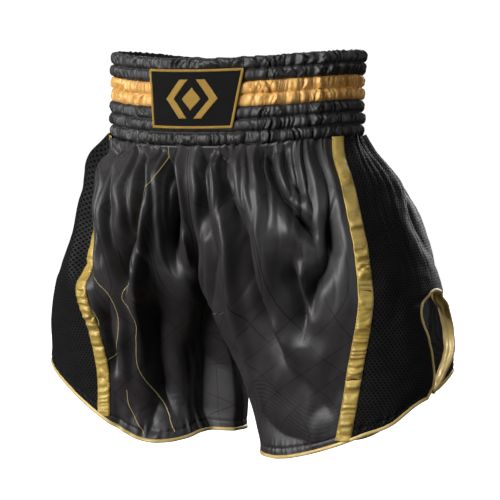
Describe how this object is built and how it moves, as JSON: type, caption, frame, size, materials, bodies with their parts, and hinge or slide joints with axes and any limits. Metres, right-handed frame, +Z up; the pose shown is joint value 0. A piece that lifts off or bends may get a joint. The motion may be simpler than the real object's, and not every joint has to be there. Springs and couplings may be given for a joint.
{
  "type": "boxing shorts",
  "caption": "Loose satin boxing shorts with a tall shirred elastic waistband, a front patch, mesh side panels, side tapes, bound hems and a teardrop vent in each side.",
  "frame": {"origin": "centre of the waist opening, level with the waistband's top edge", "axes": "+Z up out of the waist opening, -Y the wearer's front, +X the wearer's left"},
  "size_m": [0.4349, 0.2316, 0.3966],
  "materials": {
    "facing_cloth": "matt woven lining",
    "elastic": "ribbed woven elastic",
    "black_satin": "satin with a soft sheen",
    "gold_satin": "gathered satin",
    "patch_twill": "dense twill",
    "gold_embroidery": "raised satin stitch",
    "label_satin": "woven label, blank",
    "gold_tape": "satin tape, puckered by its stitching",
    "black_mesh": "knitted mesh with rows of small holes",
    "gold_binding": "folded satin binding"
  },
  "bodies": {
    "root": {"waistband_inner_facing": "facing_cloth", "waist_elastic_1": "elastic", "waist_elastic_2": "elastic", "waist_elastic_3": "elastic", "waist_elastic_4": "elastic", "waist_elastic_5": "elastic", "waist_elastic_6": "elastic", "waist_elastic_7": "elastic", "waistband_top_casing": "black_satin", "waistband_stripe_casing": "gold_satin", "waistband_lower_casing": "black_satin", "patch_base": "patch_twill", "patch_border": "gold_embroidery", "patch_emblem": "gold_embroidery", "size_label": "label_satin", "care_label": "label_satin", "front_panel_left": "black_satin", "back_panel_left": "black_satin", "front_panel_right": "black_satin", "back_panel_right": "black_satin", "front_tape_left": "gold_tape", "back_tape_left": "gold_tape", "front_tape_right": "gold_tape", "back_tape_right": "gold_tape", "side_mesh_panel_left": "black_mesh", "side_mesh_panel_right": "black_mesh", "crotch_gusset": "black_satin", "hem_binding_left": "gold_binding", "hem_binding_right": "gold_binding", "vent_binding_left": "gold_binding", "vent_binding_right": "gold_binding"}
  },
  "joints": []
}
